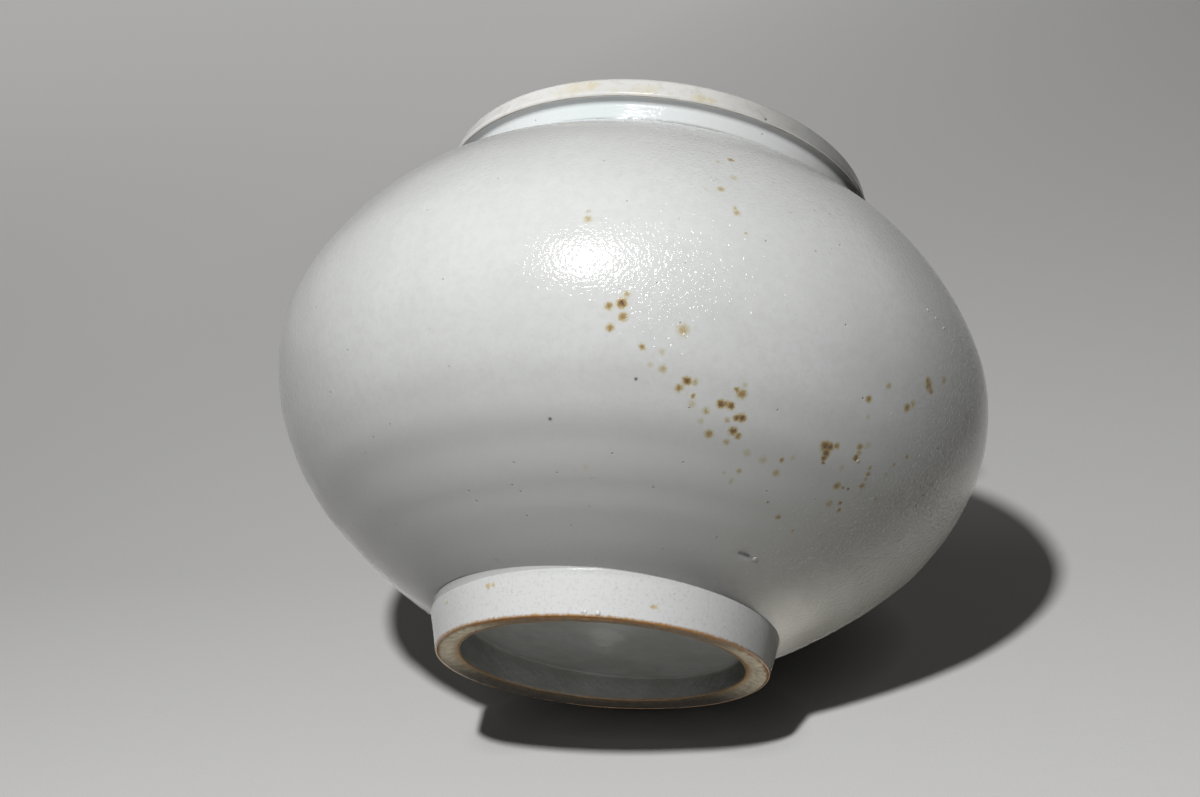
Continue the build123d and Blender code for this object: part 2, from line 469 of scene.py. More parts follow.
inside_step, throat_step = 3.0, 1.5
inside = [np.array((belly_r - inner_depth, slip / 2))]
way = bend(inside, 90, crown_r - inner_depth, crown_angle, inside_step)
way = bend(inside, way, shoulder_r - inner_depth, corner_angle - crown_angle, inside_step)
bend(inside, way, throat_corner_r + coat, -(corner_angle + throat_angle), fine_step)
straight(inside, lip_end, throat_step)
inside_low = lower_outline(inner_depth, floor_z, inside_step)
inside = np.array(inside[::-1] + inside_low[:-1])

ring_pitch, ring_height, rings_from, rings_grow_over = 19.0, 0.18, 45, 40
inside_s = lengths_along(inside)
down = inside_s[:, None]
spiral = np.sin(2 * pi * down / ring_pitch + columns) * np.clip((down - rings_from) / rings_grow_over, 0, 1)
glaze_inside = skin("glaze_inside", stand(revolve(inside, ring_height * spiral)), closes=True)

# %% [markdown]
# ## The foot ring
# Only the ring's bare contact face shows, worn round at its edges and gritty. It is a closed ring all the
# same, as the solid is. Its outline goes down the outer wall, across the contact face and up into the
# bore. Its top follows the underside of the leaning body.

# %% Foot ring
skirt_end_r, collar_r = 83.7, 81.0
collar_clear, body_clear, bore_clear = 1.5, 1.0, 0.2


def underside(radii):
    """Height of the body's underside at radii from the foot's axis, for every column."""
    x = foot_x + radii * np.cos(columns)
    y = foot_y + radii * np.sin(columns)
    rim = lower[np.argmin(np.abs(lower[:, 0] - skirt_end_r))]
    z = np.full_like(x, well_h)
    for _ in range(4):
        place = (np.stack((x, y, z), -1) - belly) @ lean
        r = np.hypot(place[..., 0], place[..., 1])
        z = z + base_z + (rim[1] - base_z) * (r / rim[0]) ** 2 - place[..., 2]
    return z


bare_r = foot_r - coat
crest_r, inner_rise, inner_bend = 76.6, 2.4, 1.25
outline = [(bare_r + foot_taper * z / ledge_h, z) for z in (11.0, 8.0, 5.0, 4.0, 3.0, 2.2)]
outline += [(bare_r + 0.25, 1.5), (bare_r - 0.1, 0.9), (bare_r - 0.6, 0.4), (bare_r - 1.5, 0.05)]
outline += [(bare_r - 2.3, 0.0), (bare_r - 2.9, 0.0)]
for r in np.linspace(crest_r, bore_r, 10):
    outline.append((r, inner_rise * ((crest_r - r) / (crest_r - bore_r)) ** inner_bend))
outline += [(bore_r, z) for z in (3.0, 3.6, 5.0, 8.0)]
ring_shape = np.array(outline)
radii = np.repeat(ring_shape[:, :1], COLUMNS, 1)
heights = np.repeat(ring_shape[:, 1:], COLUMNS, 1)

grit_h, wear_h, wear_w, bare_to = 0.6, 0.12, 0.25, 3.4
bare = np.clip(bare_to - heights, 0, 1)
wear = 0.3 * np.sin(2 * columns + 0.5) + 0.25 * np.sin(5 * columns + 2) + 0.15 * np.sin(11 * columns)
grit = seeded.random(heights.shape)
grit = (grit + np.roll(grit, 1, 1) + np.roll(grit, 1, 0)) / 3
heights = heights + bare * (grit_h * grit + wear_h + wear_h * wear)
radii = radii + bare * wear_w * (wear + grit - 0.5)

around = foot_way % (2 * pi)
order = np.argsort(around)
collar = np.interp(columns, around[order], join_z[order], period=2 * pi) - collar_clear
top_out = np.minimum(underside(collar_r) - body_clear, collar)
top_in = underside(bore_r) - bore_clear
heights = np.vstack(([top_out], heights, [top_in]))
radii = np.vstack(([np.full(COLUMNS, collar_r)], radii, [np.full(COLUMNS, bore_r)]))
foot_bare = skin("foot_bare", (foot_place + spin(radii, heights))[::-1], loops=True)

# %% [markdown]
# ## The well
# The well under the jar is glazed. Its wall climbs from a ragged hem to a rounded corner, and its ceiling
# is the body's underside, with a faint swirl from turning and a low cone that comes down in the middle.

# %% Well
well_face = bore_r - coat
well_hem_h, well_hem_ragged = 2.5, 0.25
swirl_h, swirl_pitch, swirl_fades = 0.16, 9.0, 30
cone_h, cone_r, cone_bend, ceiling_rise = 2.4, 13.0, 1.5, 0.5
corner_first, corner_last, corner_rounds = 12, 24, 6

well_hem = well_hem_h + 0.15 * np.sin(4 * columns) + well_hem_ragged * rough_line(7)
ceiling_r = np.concatenate((np.linspace(well_face, well_face - 4, 8), np.linspace(well_face - 6, 1.0, 44)))
ceiling_r = ceiling_r[:, None]
swirl = swirl_h * np.sin(2 * pi * ceiling_r / swirl_pitch + columns) * np.exp(-ceiling_r / swirl_fades)
cone = cone_h * np.exp(-(ceiling_r / cone_r) ** cone_bend) - ceiling_rise
ceiling_z = underside(ceiling_r) - swirl - cone
climb = np.linspace(0, 1, 14)[:-1]
bore_z = well_hem + climb[:, None] * (ceiling_z[0] - well_hem)
bore_z = np.vstack((well_hem + 0.5, well_hem - 0.2, well_hem - 0.3, bore_z))
bore_radii = np.concatenate(((bore_r + 0.4, bore_r, well_face + 0.3), np.full(len(climb), well_face)))
well_rings = foot_place + np.concatenate((spin(bore_radii[:, None], bore_z), spin(ceiling_r, ceiling_z)))
soften(well_rings, corner_first, corner_last, corner_rounds)
foot_well = skin("foot_well", well_rings, closes=True)

# %% [markdown]
# ## Where the spots are
# A ray through a named pixel of the photograph is cast on to the outer skin. That gives each iron spot,
# pinhole, chip and rust mark a point on the jar, so it stays in its place from every side. Each entry is
# a pixel, a width in pixels and a tone from faint to dark.

# %% Iron spots in the photograph
FAINT, LIGHT, BROWN, DARK = 0.3, 0.5, 0.75, 1.0
spots_at_highlight = [
    (622, 303, 10, DARK), (609, 306, 8, BROWN), (627, 294, 7, LIGHT), (623, 317, 9, BROWN),
    (610, 328, 8, BROWN), (588, 219, 8, LIGHT), (589, 211, 5, FAINT),
]
spots_on_belly = [
    (683, 330, 12, LIGHT), (642, 347, 6, BROWN), (662, 352, 7, FAINT), (650, 365, 6, FAINT),
    (663, 369, 8, LIGHT), (687, 381, 9, DARK), (695, 382, 7, LIGHT), (679, 388, 8, BROWN),
    (693, 396, 5, BROWN), (692, 404, 8, FAINT),
]
spots_in_cluster = [
    (742, 394, 10, BROWN), (737, 390, 6, BROWN), (745, 385, 6, FAINT), (721, 404, 9, DARK),
    (726, 404, 8, BROWN), (731, 406, 8, DARK), (706, 411, 7, LIGHT), (737, 418, 7, DARK),
    (742, 418, 9, DARK), (727, 420, 6, LIGHT), (701, 421, 6, FAINT), (733, 431, 9, DARK),
    (738, 436, 7, BROWN), (709, 434, 9, BROWN), (726, 442, 7, LIGHT),
]
spots_below = [
    (747, 453, 8, FAINT), (763, 460, 9, FAINT), (793, 458, 6, FAINT), (782, 460, 6, BROWN),
    (776, 473, 8, LIGHT), (739, 471, 6, LIGHT), (731, 481, 6, FAINT), (724, 473, 5, FAINT),
    (778, 517, 6, BROWN), (768, 502, 3, DARK), (793, 531, 4, BROWN),
]
spots_at_right = [
    (825, 446, 11, DARK), (830, 447, 9, DARK), (837, 446, 7, BROWN), (826, 453, 9, DARK),
    (824, 458, 7, DARK), (823, 463, 4, DARK), (860, 447, 7, BROWN), (859, 453, 7, LIGHT),
    (856, 458, 7, DARK), (868, 445, 7, FAINT), (869, 399, 8, BROWN), (889, 386, 7, LIGHT),
    (868, 417, 5, FAINT), (907, 408, 9, BROWN), (913, 404, 8, LIGHT), (928, 381, 9, BROWN),
    (929, 386, 11, BROWN), (931, 391, 7, BROWN), (944, 380, 8, LIGHT), (967, 417, 7, LIGHT),
    (907, 457, 5, BROWN), (894, 465, 5, LIGHT), (842, 468, 7, FAINT), (870, 468, 5, LIGHT),
    (868, 474, 6, BROWN), (866, 479, 4, LIGHT), (862, 486, 7, BROWN), (886, 475, 5, FAINT),
    (837, 486, 9, BROWN), (843, 488, 4, BROWN), (829, 504, 8, LIGHT), (840, 503, 5, BROWN),
    (839, 510, 6, BROWN), (876, 499, 5, LIGHT), (923, 495, 5, BROWN), (916, 506, 5, LIGHT),
    (931, 515, 4, LIGHT),
]
spots_on_shoulder = [
    (721, 189, 8, LIGHT), (734, 178, 9, FAINT), (731, 160, 7, BROWN), (718, 162, 4, LIGHT),
    (737, 213, 8, LIGHT), (735, 208, 5, LIGHT), (706, 189, 3, FAINT), (746, 233, 3, LIGHT),
]
spots = spots_at_highlight + spots_on_belly + spots_in_cluster
spots += spots_below + spots_at_right + spots_on_shoulder
print(len(spots), "iron spots")

# %% Other marks in the photograph
# The last six entries are no pinholes: they paint a dark slit along the gouge.
pinholes_and_gouge_slit = [
    (550, 419, 5.5, DARK), (636, 379, 5, DARK), (848, 489, 5, DARK), (449, 366, 3, BROWN),
    (533, 336, 3, LIGHT), (799, 255, 4, LIGHT), (768, 284, 3, LIGHT), (808, 331, 4, FAINT),
    (808, 371, 4, LIGHT), (889, 446, 7, FAINT), (577, 136, 3, BROWN), (606, 127, 4, BROWN),
    (811, 174, 3, BROWN), (656, 403, 3, LIGHT), (682, 368, 3, LIGHT), (418, 194, 3, LIGHT),
    (515, 525, 3, LIGHT), (571, 525, 3, BROWN), (936, 280, 3, BROWN), (976, 361, 3, BROWN),
    (758, 131, 4, LIGHT), (766, 119, 5, DARK), (740, 553, 6, DARK), (742, 553.6, 7, DARK),
    (744, 554.4, 8, DARK), (746, 555.2, 8, DARK), (748, 556, 7, DARK), (750, 557, 6, BROWN),
]
rust_marks = [
    (488, 586, 6, DARK), (493, 585, 5, BROWN), (447, 602, 5, LIGHT), (653, 607, 5, DARK),
    (656, 607, 4, BROWN), (537, 616, 6, BROWN), (586, 467, 6, FAINT), (497, 560, 6, FAINT),
]
lip_stains = [
    (575, 88, 26, LIGHT), (592, 86, 16, BROWN), (614, 92, 14, FAINT), (650, 90, 20, LIGHT),
    (700, 99, 18, BROWN), (712, 101, 9, DARK), (640, 93, 26, FAINT), (560, 93, 14, FAINT),
]
# patches of painted light round the low cone in the middle of the well
well_lit_patches = [(604, 643, 24, LIGHT), (606, 634, 42, BROWN), (613, 627, 54, LIGHT), (588, 630, 40, FAINT)]
well_arc = [(597, 646, 4, LIGHT), (601, 648, 4, BROWN), (605, 648, 4, BROWN), (609, 647, 4, LIGHT)]
print(len(pinholes_and_gouge_slit), "pinholes,", len(rust_marks), "rust marks,", len(lip_stains), "stains on the lip")

# %% Points on the skins
mm_per_px = 0.487


def skin_tree(piece):
    """A search tree over a piece's faces."""
    points = [vertex.co for vertex in piece.data.vertices]
    return BVHTree.FromPolygons(points, [face.vertices for face in piece.data.polygons])


outer_tree, well_tree, ring_tree = skin_tree(glaze_outside), skin_tree(foot_well), skin_tree(foot_bare)


def on_skin(x, y, skin_faces=outer_tree):
    """The point of a skin that a pixel shows, and its normal."""
    point, normal, _, _ = skin_faces.ray_cast(eye, pixel_ray(x, y))
    return point, normal


def radius_of(width):
    """Half of a width in pixels, in metres on the jar."""
    return width / 2 * mm_per_px * MM


marks = spots + pinholes_and_gouge_slit + rust_marks + lip_stains
print("pixels that miss the jar:", [entry for entry in marks if on_skin(*entry[:2])[0] is None])

# %% [markdown]
# ## Dents and chips
# One gouge low on the belly and a few chips on the lip and foot are deep enough to be shape. They are
# pressed into the points of the skin round a named pixel. Each has a reach and a depth in millimetres.

# %% Dents and chips
GOUGE, GOUGE_TAIL = (746, 555), (741, 553)
LIP_CHIPS = ((512, 108), (682, 99), (766, 119))
RING_CHIPS = ((468, 673), (456, 663), (748, 682), (754, 671))
gouge_reach, gouge_depth = 2.0, 0.6
tail_reach, tail_depth = 1.8, 0.4
lip_chip_reach, lip_chip_depth = 1.5, 0.45
ring_chip_reach, ring_chip_depth = 1.8, 1.1


def press(piece, skin_faces, pixel, reach, depth):
    """Push a piece's points in towards the body's middle, deepest where a pixel shows the piece."""
    centre = np.array(on_skin(*pixel, skin_faces)[0]) / MM
    flat = np.empty(len(piece.data.vertices) * 3, np.float32)
    piece.data.vertices.foreach_get("co", flat)
    points = flat.reshape(-1, 3).astype(float) / MM
    away = points - belly
    away /= np.linalg.norm(away, axis=-1, keepdims=True)
    near = hump(np.linalg.norm(points - centre, axis=-1), 0, reach)
    points -= away * (depth * near)[..., None]
    piece.data.vertices.foreach_set("co", (points * MM).astype(np.float32).ravel())
    piece.data.update()


press(glaze_outside, outer_tree, GOUGE, gouge_reach, gouge_depth)
press(glaze_outside, outer_tree, GOUGE_TAIL, tail_reach, tail_depth)
for chip in LIP_CHIPS:
    press(glaze_outside, outer_tree, chip, lip_chip_reach, lip_chip_depth)
for chip in RING_CHIPS:
    press(foot_bare, ring_tree, chip, ring_chip_reach, ring_chip_depth)
print("one gouge,", len(LIP_CHIPS), "chips on the lip,", len(RING_CHIPS), "chips on the foot")

# %% [markdown]
# ## Blisters
# Gas leaves small hard pips on the glaze: beside the gouge, along the foot's edge, on the lip and here
# and there on the belly. Each is a low dome one or two millimetres wide, and as real shape it catches the
# lamp from any side. A dome's lowest ring turns under a little, so that its edge lies in the skin. Each
# entry is a pixel and a width in pixels.

# %% Blisters
blisters_at = [
    (755, 559, 5), (582, 611, 4), (585, 612, 4), (598, 613, 5), (730, 647, 5), (858, 461, 4), (712, 180, 4),
    (715, 179, 3), (446, 601, 3), (936, 318, 3), (928, 310, 3), (944, 328, 3), (586, 212, 3),
    (598, 85, 2.5), (622, 84, 2.5), (633, 87, 3), (648, 85, 2.5), (662, 89, 3), (676, 88, 2.5),
    (655, 93, 2.5), (690, 92, 2.5),
]
dome_rings, dome_sides, dome_share, dome_angle = 5, 12, 0.32, 100


def dome_points(point, normal, radius):
    """Points of a low dome on a skin, ring by ring, with its crown last."""
    one = normal.orthogonal().normalized()
    two = normal.cross(one)
    points = []
    for k in range(dome_rings):
        slant = radians(dome_angle - dome_angle * k / dome_rings)
        for j in range(dome_sides):
            turned = 2 * pi * j / dome_sides
            flat = (one * cos(turned) + two * sin(turned)) * sin(slant)
            points.append(point + radius * (flat + normal * (dome_share * cos(slant))))
    return points + [point + radius * dome_share * normal]


def dome_faces(start):
    """Faces of a dome whose points begin at a number."""
    faces = []
    for a in range(start, start + (dome_rings - 1) * dome_sides, dome_sides):
        b = a + dome_sides
        for j in range(dome_sides):
            n = (j + 1) % dome_sides
            faces.append((a + j, a + n, b + n, b + j))
    last = start + (dome_rings - 1) * dome_sides
    return faces + [(last + j, last + (j + 1) % dome_sides, last + dome_sides) for j in range(dome_sides)]


verts, faces = [], []
for x, y, width in blisters_at:
    faces += dome_faces(len(verts))
    verts += dome_points(*on_skin(x, y), radius_of(width))
blister_mesh = bpy.data.meshes.new("glaze_blisters")
blister_mesh.from_pydata([tuple(v) for v in verts], [], faces)
blister_mesh.shade_smooth()
glaze_blisters = put("glaze_blisters", blister_mesh)
print(len(blisters_at), "blisters")

# %% [markdown]
# ## Node helpers
# A material is a small tree of nodes. One helper adds a node and fills its sockets, either with a value
# or with another node's output. A few more name the arithmetic that masks are made of.

# %% Node helpers
def add(tree, kind, sockets=None, **settings):
    """Add a node with its settings, and give each socket a value or a link."""
    made = tree.nodes.new(kind)
    for name, value in settings.items():
        setattr(made, name, value)
    for socket, value in (sockets or {}).items():
        if isinstance(value, bpy.types.NodeSocket):
            tree.links.new(value, made.inputs[socket])
        else:
            made.inputs[socket].default_value = value
    return made


def maths(tree, operation, a, b=0.0, c=0.0, clamp=False):
    """A Math node's result."""
    made = add(tree, "ShaderNodeMath", {0: a, 1: b, 2: c}, operation=operation, use_clamp=clamp)
    return made.outputs[0]


def times(tree, first, *others):
    """The product of masks or values."""
    for other in others:
        first = maths(tree, "MULTIPLY", first, other)
    return first


def vectors(tree, operation, sockets, output="Vector"):
    """A Vector Math node's result."""
    return add(tree, "ShaderNodeVectorMath", sockets, operation=operation).outputs[output]


def fade(tree, value, start, end, low=0.0, high=1.0):
    """A smooth step from low to high while a value goes from start to end."""
    sockets = {"Value": value, "From Min": start, "From Max": end, "To Min": low, "To Max": high}
    return add(tree, "ShaderNodeMapRange", sockets, interpolation_type="SMOOTHSTEP").outputs[0]


def blend(tree, share, a, b, how="MIX"):
    """Two colours mixed by a share."""
    made = add(tree, "ShaderNodeMix", {0: share, 6: a, 7: b}, data_type="RGBA", blend_type=how)
    return made.outputs[2]


def noise(tree, place, scale, detail=2.0, rough=0.5):
    """Noise at a scale per metre, around 0.5."""
    sockets = {"Vector": place, "Scale": scale, "Detail": detail, "Roughness": rough}
    return add(tree, "ShaderNodeTexNoise", sockets).outputs[0]


def clouds(tree, place, scale, detail, rough):
    """Soft patches between 0 and 1."""
    return fade(tree, noise(tree, place, scale, detail, rough), 0.3, 0.7)


# %% [markdown]
# ## Groups and materials
# An effect that several finishes use is a node group. It is built once and placed in each material with
# its own values. All the groups here put out one mask. A mask that follows the rings of a mesh is kept
# with its points, and an Attribute node reads it.

# %% Group and material helpers
VECTOR, VALUE = "NodeSocketVector", "NodeSocketFloat"


def new_group(name, **inputs):
    """A node group with named inputs and a mask as its output, and its two end nodes."""
    group = bpy.data.node_groups.new(name, "ShaderNodeTree")
    for socket, kind in inputs.items():
        group.interface.new_socket(socket, in_out="INPUT", socket_type=kind)
    group.interface.new_socket("Mask", in_out="OUTPUT", socket_type=VALUE)
    return group, group.nodes.new("NodeGroupInput"), group.nodes.new("NodeGroupOutput")


def use(tree, group, **sockets):
    """Place a group in a tree, and give its mask."""
    return add(tree, "ShaderNodeGroup", sockets, node_tree=group).outputs["Mask"]


def kept_mask(tree, name):
    """A mask that is kept with the points of a mesh."""
    return add(tree, "ShaderNodeAttribute", attribute_name=name).outputs["Fac"]


def new_material(name):
    """A material with its Principled shader, its tree and the surface's own coordinates."""
    material = bpy.data.materials.new(name)
    material.use_nodes = True
    tree = material.node_tree
    shader = tree.nodes["Principled BSDF"]
    place = add(tree, "ShaderNodeTexCoord").outputs["Object"]
    return material, tree, shader, place


def raise_surface(tree, normal, height, depth):
    """Raise a surface by a height, at most as much as a depth in metres, through its normal."""
    bump = add(tree, "ShaderNodeBump", {"Strength": 1.0, "Distance": depth, "Height": height})
    tree.links.new(bump.outputs[0], normal)


# %% [markdown]
# ## Effects that several finishes share
# Pinholes are tiny dark pits where gas escaped: a few lucky cells of a Voronoi pattern. One spot is a
# soft disc round a point, and a list of them is one mask, whose edges noise makes ragged. The burnt edge
# lies between two heights over the floor, and noise makes that ragged too.

# %% Shared effects
pit_scale, pit_edge, pit_core = 260.0, 0.16, 0.06
pit_group, pit_in, pit_out = new_group("pinholes", Place=VECTOR, Share=VALUE)
cells = add(pit_group, "ShaderNodeTexVoronoi", {"Vector": pit_in.outputs["Place"], "Scale": pit_scale})
lucky = add(pit_group, "ShaderNodeSeparateColor", {0: cells.outputs["Color"]}).outputs[0]
chosen = maths(pit_group, "LESS_THAN", lucky, pit_in.outputs["Share"])
dot = fade(pit_group, cells.outputs["Distance"], pit_edge, pit_core)
pit_group.links.new(times(pit_group, dot, chosen), pit_out.inputs["Mask"])

spot_edge, spot_core = 1.45, 0.15
spot_group, spot_in, spot_out = new_group("one_spot", Place=VECTOR, Centre=VECTOR, Reach=VALUE, Tone=VALUE)
ends = {0: spot_in.outputs["Place"], 1: spot_in.outputs["Centre"]}
gap = vectors(spot_group, "DISTANCE", ends, "Value")
gap = maths(spot_group, "DIVIDE", gap, spot_in.outputs["Reach"])
disc = fade(spot_group, gap, spot_edge, spot_core)
spot_group.links.new(times(spot_group, disc, spot_in.outputs["Tone"]), spot_out.inputs["Mask"])

burn_scale, burn_ragged = 480.0, -0.0022
burn_group, burn_in, burn_out = new_group("burnt_edge", Place=VECTOR, Low=VALUE, High=VALUE)
height = add(burn_group, "ShaderNodeSeparateXYZ", {0: burn_in.outputs["Place"]}).outputs["Z"]
ragged = noise(burn_group, burn_in.outputs["Place"], burn_scale, 5.0, 0.65)
ragged = maths(burn_group, "MULTIPLY_ADD", ragged, burn_ragged, height)
burn = fade(burn_group, ragged, burn_in.outputs["High"], burn_in.outputs["Low"])
burn_group.links.new(burn, burn_out.inputs["Mask"])
print("shared effects:", [group.name for group in bpy.data.node_groups])

# %% Groups of spots
ragged_scale, ragged_detail = 700.0, 3.0


def spots_mask(name, entries, fuzz, skin_faces=outer_tree):
    """A group whose mask is the strongest spot of a list, with edges that wander by a fuzz in metres."""
    group, ends_in, ends_out = new_group(name, Place=VECTOR)
    sockets = {"Vector": ends_in.outputs["Place"], "Scale": ragged_scale, "Detail": ragged_detail}
    wobble = add(group, "ShaderNodeTexNoise", sockets).outputs[1]
    off = vectors(group, "SUBTRACT", {0: wobble, 1: (0.5, 0.5, 0.5)})
    off = vectors(group, "SCALE", {0: off, "Scale": fuzz})
    place = vectors(group, "ADD", {0: ends_in.outputs["Place"], 1: off})
    total = None
    for x, y, width, tone in entries:
        centre = on_skin(x, y, skin_faces)[0]
        mask = use(group, spot_group, Place=place, Centre=centre, Reach=radius_of(width), Tone=tone)
        total = mask if total is None else maths(group, "MAXIMUM", total, mask)
    group.links.new(total, ends_out.inputs["Mask"])
    return group


iron_group = spots_mask("iron_spots", spots, 0.0022)
black_group = spots_mask("pinholes_and_gouge_slit", pinholes_and_gouge_slit, 0.0008)
rust_group = spots_mask("rust_marks", rust_marks, 0.003)
stain_group = spots_mask("lip_stains", lip_stains, 0.008)
well_lit_group = spots_mask("well_lit_patches", well_lit_patches, 0.006, well_tree)
arc_group = spots_mask("well_arc", well_arc, 0.002, well_tree)
print("all groups:", [group.name for group in bpy.data.node_groups])

# %% [markdown]
# ## Masks along the outline
# Some finishes follow the rings: the pool of glaze in the cove, the dry lip, and the painted shade in the
# line where the neck starts, in the groove over the foot and in the corner of the well. A number for each
# ring is repeated round the ring and kept with the mesh's points. Painting by height would not do, because
# the body leans.

# %% Masks along the outline
def keep_mask(piece, name, by_row):
    """Keep one value per ring with a piece's points."""
    values = np.repeat(by_row, COLUMNS).astype(np.float32)
    spare = len(piece.data.vertices) - len(values)
    values = np.concatenate((values, np.full(spare, by_row[-1], np.float32)))
    piece.data.attributes.new(name, "FLOAT", "POINT").data.foreach_set("value", values)


def between(rows, first, last, grow=2, fall=2):
    """A mask that is 1 between two rows and fades over a few rows at its ends."""
    return np.clip((rows - first) / grow, 0, 1) * np.clip((last - rows) / fall, 0, 1)


ring_number = np.arange(len(outer_rings))
upper_start = len(outer_rings) - len(outside)
from_belly = ring_number - upper_start
lip_grows_over, inside_lip_mm, corner_spread = 4, 9, 4.5
neck_shade_at, neck_shade_w = 1.5, 0.7
neck_shade_line = np.zeros(len(outer_rings))
neck_shade_line[upper_start:] = hump(edge_s, neck_shade_at, neck_shade_w)
keep_mask(glaze_outside, "cove", between(from_belly, shoulder_end - 1, cove_end + 1, grow=3))
keep_mask(glaze_outside, "lip", np.clip((from_belly - cove_end - 2) / lip_grows_over, 0, 1))
# the edge and groove masks place painted shade in the neck line and in the foot's groove
keep_mask(glaze_outside, "edge", neck_shade_line)
keep_mask(glaze_outside, "groove", between(ring_number, crease - 10, crease + 2))
keep_mask(glaze_inside, "lip", np.clip(1 - inside_s / inside_lip_mm, 0, 1))
# the corner mask places painted shade in the corner of the well
keep_mask(foot_well, "corner", hump(np.arange(len(well_rings)), len(bore_z), corner_spread))
for piece in (glaze_outside, glaze_inside, foot_well):
    print(piece.name, "keeps", [layer.name for layer in piece.data.attributes if layer.data_type == "FLOAT"])

# %% [markdown]
# ## The glaze
# The glaze is a cool grey white, clouded and finely mottled, with a painted shade that darkens it low on the
# body. It pools blue in the cove under the lip, most of all on the left, where a painted light whitens the
# pool's left end, and it is thick and pale high on the shoulder and on the foot. Each layer is one mask and
# one tint, laid over the layers before it.

# %% Glaze colour
glaze_pale, glaze_grey = (0.705, 0.717, 0.712, 1), (0.665, 0.676, 0.668, 1)
mottle_grey, low_shade_grey = (0.62, 0.625, 0.605, 1), (0.535, 0.54, 0.525, 1)
pool_blue, pool_lit_white = (0.665, 0.78, 0.80, 1), (0.90, 0.96, 0.965, 1)
thick_white, fleck_grey = (0.81, 0.82, 0.815, 1), (0.46, 0.46, 0.43, 1)
cloud_scale, mottle_scale, pool_scale, fleck_scale = 26.0, 230.0, 60.0, 650.0
low_shade_z, fleck_z, thick_strength = (0.104, 0.048), (0.036, 0.022), 0.8
thick_high_z, thick_foot_z = (0.19, 0.25), (0.026, 0.018)
pool_x, pool_lit_x = (0.055, -0.045), (-0.02, -0.075)

glaze, tree, shader, place = new_material("grey_white_glaze")
spread = add(tree, "ShaderNodeSeparateXYZ", {0: place})
across, rise = spread.outputs["X"], spread.outputs["Z"]
cove, lip = kept_mask(tree, "cove"), kept_mask(tree, "lip")
colour = blend(tree, clouds(tree, place, cloud_scale, 3.0, 0.55), glaze_pale, glaze_grey)
mottle = fade(tree, noise(tree, place, mottle_scale, 4.0, 0.65), 0.35, 0.75, high=0.5)
colour = blend(tree, mottle, colour, mottle_grey)
# painted shade: the glaze turns darker grey towards the bottom of the body
colour = blend(tree, fade(tree, rise, *low_shade_z, high=0.85), colour, low_shade_grey)
pool_side = fade(tree, across, *pool_x, low=0.08)
pool_patches = fade(tree, noise(tree, place, pool_scale), 0.2, 0.6, low=0.6)
# painted light: the pool turns white towards its left end
pool_blue_and_lit_white = blend(tree, fade(tree, across, *pool_lit_x), pool_blue, pool_lit_white)
colour = blend(tree, times(tree, cove, pool_side, pool_patches), colour, pool_blue_and_lit_white)
thick = maths(tree, "MAXIMUM", fade(tree, rise, *thick_high_z, high=0.6), fade(tree, rise, *thick_foot_z))
colour = blend(tree, times(tree, thick, thick_strength), colour, thick_white)
flecks = fade(tree, noise(tree, place, fleck_scale, 3.0, 0.7), 0.48, 0.72)
flecks = times(tree, flecks, fade(tree, rise, *fleck_z, low=0.12, high=0.34))
colour = blend(tree, flecks, colour, fleck_grey)
print("layers of glaze:", len(tree.nodes), "nodes so far")

# %% [markdown]
# ## The lip and the grooves
# The lip is worn to a drier white, with grime in its fine pits, and painted shade darkens it towards the
# right while painted light whitens it towards the left. Painted shade sits in the line under the neck and in
# the groove over the foot.

# %% Lip and grooves
lip_cream, lip_painted_shade, lip_lit_white = (0.73, 0.725, 0.70, 1), (0.31, 0.308, 0.295, 1), (0.93, 0.925, 0.905, 1)
grime_brown, crease_shade_grey = (0.76, 0.73, 0.66, 1), (0.42, 0.42, 0.40, 1)
lip_shade_x, lip_lit_x = (0.0, 0.10), (-0.02, -0.085)
grime_scale, crease_shade_scale = 150.0, 70.0
lip_strength, groove_shade_strength = 0.9, 0.35

# painted shade towards the right of the lip, painted light towards its left
lip_cream_lit_and_shaded = blend(tree, fade(tree, across, *lip_shade_x), lip_cream, lip_painted_shade)
lip_cream_lit_and_shaded = blend(tree, fade(tree, across, *lip_lit_x), lip_cream_lit_and_shaded, lip_lit_white)
colour = blend(tree, times(tree, lip, lip_strength), colour, lip_cream_lit_and_shaded)
grime = fade(tree, noise(tree, place, grime_scale, 5.0, 0.7), 0.45, 0.7, high=0.5)
colour = blend(tree, times(tree, lip, grime), colour, grime_brown, "MULTIPLY")
# painted shade in the line under the neck and in the groove over the foot
crease_shade_patches = fade(tree, noise(tree, place, crease_shade_scale), 0.3, 0.6, low=0.25, high=0.75)
crease_shade = times(tree, kept_mask(tree, "edge"), crease_shade_patches)
crease_shade = maths(tree, "MAXIMUM", crease_shade, times(tree, kept_mask(tree, "groove"), groove_shade_strength))
colour = blend(tree, crease_shade, colour, crease_shade_grey, "MULTIPLY")
print("lip and grooves:", len(tree.nodes), "nodes so far")

# %% [markdown]
# ## Marks in the glaze
# Iron in the clay bleeds through as spots: straw at the rim, brown, and nearly black in the middle. A
# colour ramp turns the strength of the spot mask into those tints, which multiply the glaze. Pinholes,
# stains, rust and the burnt hem come on top.

# %% Marks in the glaze
iron_tints = (
    (0.0, (1.0, 1.0, 1.0, 1)),
    (0.25, (0.88, 0.82, 0.66, 1)),
    (0.5, (0.68, 0.52, 0.27, 1)),
    (0.75, (0.46, 0.28, 0.10, 1)),
    (1.0, (0.12, 0.075, 0.055, 1)),
)
pit_brown, stain_straw, pinhole_black = (0.22, 0.21, 0.19, 1), (0.94, 0.84, 0.58, 1), (0.1, 0.1, 0.09, 1)
rust_orange, burnt_brown = (0.82, 0.60, 0.27, 1), (0.42, 0.21, 0.055, 1)
pit_share, pit_strength, iron_grain, pinhole_sharpness = 0.06, 0.5, 1300.0, 3.0

